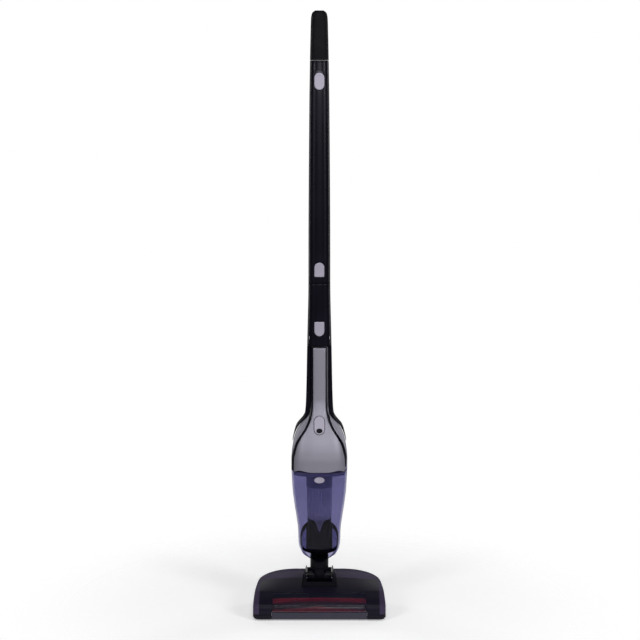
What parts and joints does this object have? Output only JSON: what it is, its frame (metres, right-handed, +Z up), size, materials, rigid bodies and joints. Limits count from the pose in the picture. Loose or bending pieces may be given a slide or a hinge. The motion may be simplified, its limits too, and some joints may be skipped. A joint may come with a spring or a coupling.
{
  "type": "upright vacuum cleaner",
  "caption": "Cordless upright stick vacuum: hand-held unit with a smoky dust cup docked in a slim black frame on a tilting floor head with a red brush roll.",
  "frame": {"origin": "centre of the floor head's footprint, on the floor under the wheels", "axes": "+Z up along the upright stick, -Y to the front, X across the floor head"},
  "size_m": [0.243, 0.131, 1.1],
  "materials": {
    "gloss_black": "polished injection moulding",
    "soft_grip": "soft-touch matt",
    "soft_black": "matt",
    "dark_plastic": "satin",
    "silver_panel": "metallic lacquer, satin",
    "button_grey": "satin",
    "smoke_clear": "clear, violet smoke tint",
    "brush_red": "matt bristle",
    "rubber": "matt",
    "steel": "bright",
    "winding": "enamelled copper on a steel core",
    "filter_cloth": "non-woven",
    "cell_wrap": "shrink wrap",
    "board": "solder mask"
  },
  "bodies": {
    "floor_head": {"head_cover": "gloss_black", "brush_window": "smoke_clear", "head_base": "gloss_black", "front_bumper": "dark_plastic", "neck_housing": "gloss_black", "pivot_pin_left": "steel", "pivot_pin_right": "steel", "squeegee_strip": "rubber", "air_hose": "soft_black", "brush_bearing_left": "steel", "brush_bearing_right": "steel", "brush_motor": "steel", "drive_belt": "rubber", "rear_axle_left": "steel", "rear_axle_right": "steel"},
    "rear_wheel_left": {"rear_wheel_left": "soft_black"},
    "rear_wheel_right": {"rear_wheel_right": "soft_black"},
    "front_roller_left": {"front_roller_left": "soft_black"},
    "front_roller_right": {"front_roller_right": "soft_black"},
    "brush_roll": {"brush_core": "brush_red", "brush_bristles": "brush_red"},
    "brush_motor_pulley": {"brush_motor_pulley": "steel"},
    "neck_yoke": {"neck_yoke": "gloss_black"},
    "frame": {"cradle_neck": "gloss_black", "dock_gasket": "rubber", "frame_rear_shell": "gloss_black", "stem_front_cover": "gloss_black", "spine_front_cover": "dark_plastic", "cradle_rail_left": "gloss_black", "cradle_rail_right": "gloss_black", "dock_latch_spring": "steel", "frame_wire": "soft_black", "spine_screw_lower": "steel", "spine_screw_upper": "steel"},
    "dock_release": {"dock_release_button": "button_grey", "dock_latch": "steel"},
    "handle": {"handle_rear_shell": "gloss_black", "handle_front_cover": "gloss_black", "grip_sleeve": "soft_grip", "handle_spigot": "dark_plastic", "switch_board": "board", "handle_release_spring": "steel"},
    "power_slider": {"power_slider": "button_grey"},
    "handle_release_button": {"handle_release_button": "button_grey"},
    "hand_unit": {"side_shell_left": "silver_panel", "side_shell_right": "silver_panel", "panel_trim": "gloss_black", "front_panel": "silver_panel", "control_board": "board", "battery_cell_left": "cell_wrap", "battery_cell_right": "cell_wrap", "motor_housing": "dark_plastic"},
    "power_button": {"power_button": "button_grey", "indicator_lens": "gloss_black"},
    "motor_fan_rotor": {"motor_fan_rotor": "winding"},
    "cup": {"dust_cup": "smoke_clear", "inlet_duct": "gloss_black", "filter_frame": "dark_plastic", "filter_element": "filter_cloth"},
    "cup_release_button": {"cup_release_button": "button_grey"}
  },
  "joints": [
    {"name": "rear_wheel_left_spin", "type": "hinge", "parent": "floor_head", "child": "rear_wheel_left", "pos_m": [-0.076, 0.0405, 0.015], "axis": [1, 0, 0], "continuous": true},
    {"name": "rear_wheel_right_spin", "type": "hinge", "parent": "floor_head", "child": "rear_wheel_right", "pos_m": [0.076, 0.0405, 0.015], "axis": [1, 0, 0], "continuous": true},
    {"name": "front_roller_left_spin", "type": "hinge", "parent": "floor_head", "child": "front_roller_left", "pos_m": [-0.1075, -0.0415, 0.007], "axis": [1, 0, 0], "continuous": true},
    {"name": "front_roller_right_spin", "type": "hinge", "parent": "floor_head", "child": "front_roller_right", "pos_m": [0.1075, -0.0415, 0.007], "axis": [1, 0, 0], "continuous": true},
    {"name": "brush_spin", "type": "hinge", "parent": "floor_head", "child": "brush_roll", "pos_m": [0, -0.0335, 0.0185], "axis": [1, 0, 0], "continuous": true},
    {"name": "brush_motor_spin", "type": "hinge", "parent": "floor_head", "child": "brush_motor_pulley", "pos_m": [-0.066, 0.0085, 0.027], "axis": [1, 0, 0], "continuous": true},
    {"name": "stick_tilt", "type": "hinge", "parent": "floor_head", "child": "neck_yoke", "pos_m": [0, 0.0165, 0.062], "axis": [-1, 0, 0], "range_deg": [0, 73]},
    {"name": "neck_swivel", "type": "hinge", "parent": "neck_yoke", "child": "frame", "pos_m": [0, 0.0165, 0.08], "axis": [0, 0, 1], "range_deg": [-45, 45]},
    {"name": "dock_release_press", "type": "slide", "parent": "frame", "child": "dock_release", "axis": [0, 1, 0], "range_m": [0, 0.0025], "stiffness_N_per_m": 600},
    {"name": "handle_lift", "type": "slide", "parent": "frame", "child": "handle", "axis": [0, 0, 1], "range_m": [0, 0.09]},
    {"name": "power_slide", "type": "slide", "parent": "handle", "child": "power_slider", "axis": [0, 0, 1], "range_m": [0, 0.005]},
    {"name": "handle_release_press", "type": "slide", "parent": "handle", "child": "handle_release_button", "axis": [0, 1, 0], "range_m": [0, 0.0025], "stiffness_N_per_m": 600},
    {"name": "hand_unit_lift", "type": "slide", "parent": "frame", "child": "hand_unit", "axis": [0, -1, 0], "range_m": [0, 0.15]},
    {"name": "power_press", "type": "slide", "parent": "hand_unit", "child": "power_button", "axis": [0, 1, 0], "range_m": [0, 0.0018], "stiffness_N_per_m": 600},
    {"name": "fan_spin", "type": "hinge", "parent": "hand_unit", "child": "motor_fan_rotor", "pos_m": [0, -0.0075, 0.3], "axis": [0, 0, 1], "continuous": true},
    {"name": "cup_removal", "type": "slide", "parent": "hand_unit", "child": "cup", "axis": [0, -1, 0], "range_m": [0, 0.12]},
    {"name": "cup_release_press", "type": "slide", "parent": "cup", "child": "cup_release_button", "axis": [0, 1, 0], "range_m": [0, 0.002], "stiffness_N_per_m": 600}
  ],
  "couplings": [
    {"joint": "brush_motor_spin", "follows": "brush_spin", "ratio": 1.6}
  ]
}
